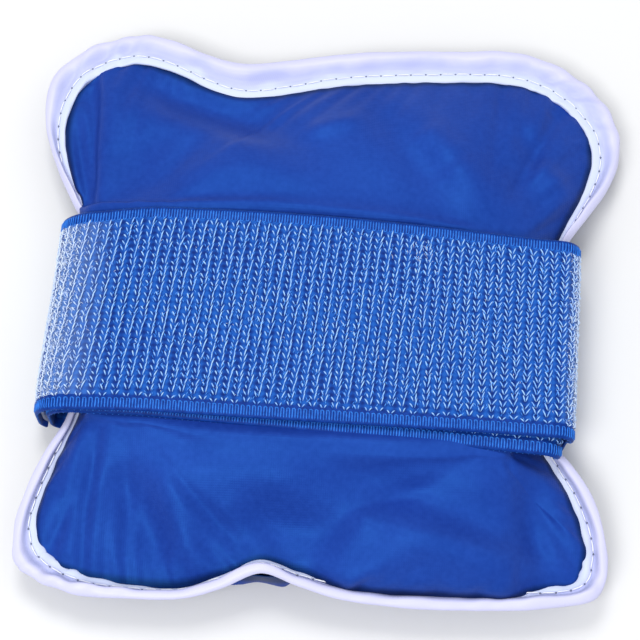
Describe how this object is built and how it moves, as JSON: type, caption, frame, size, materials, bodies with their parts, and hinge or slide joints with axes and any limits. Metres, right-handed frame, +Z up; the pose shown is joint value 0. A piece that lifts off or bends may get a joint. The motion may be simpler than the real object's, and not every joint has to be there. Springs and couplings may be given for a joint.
{
  "type": "cold compression wrap",
  "caption": "Soft gel pack in a bound nylon cover, wound with a wide elastic strap whose free end grips with a hook tab.",
  "frame": {"origin": "middle of the underside, on the surface that the pack lies on", "axes": "+X to the right along the strap, +Y towards the pack's edge with the dip, +Z up out of the front cover"},
  "size_m": [0.1414, 0.142, 0.025],
  "materials": {
    "cover_nylon": "satin",
    "back_nylon": "satin",
    "binding_tape": "satin",
    "white_thread": "satin",
    "blue_thread": "satin",
    "pouch_film": "gloss",
    "gel": "gloss",
    "strap_elastic": "matte",
    "hook_plastic": "matte"
  },
  "bodies": {
    "pack": {"front_cover": "cover_nylon", "back_cover": "back_nylon", "edge_binding": "binding_tape", "binding_needle_thread": "white_thread", "binding_bobbin_thread": "white_thread", "gel_pouch_front_film": "pouch_film", "gel_pouch_back_film": "pouch_film", "gel_fill": "gel", "strap_inner_turn": "strap_elastic", "strap_anchor_stitches": "blue_thread"},
    "strap_side": {"strap_side_run": "strap_elastic"},
    "strap_run": {"strap_front_run": "strap_elastic"},
    "strap_end": {"strap_tip": "strap_elastic", "hook_tab": "hook_plastic", "hook_tab_stitches": "blue_thread"}
  },
  "joints": [
    {"name": "side_unfold", "type": "hinge", "parent": "pack", "child": "strap_side", "pos_m": [0.06, 0, 0], "axis": [0, 1, 0], "range_deg": [0, 90]},
    {"name": "run_unfold", "type": "hinge", "parent": "strap_side", "child": "strap_run", "pos_m": [0.06, 0, 0.025], "axis": [0, 1, 0], "range_deg": [0, 90]},
    {"name": "tip_peel", "type": "hinge", "parent": "strap_run", "child": "strap_end", "pos_m": [-0.0635, 0, 0.025], "axis": [0, 1, 0], "range_deg": [0, 90]}
  ],
  "couplings": [
    {"joint": "run_unfold", "follows": "side_unfold", "ratio": 1}
  ]
}
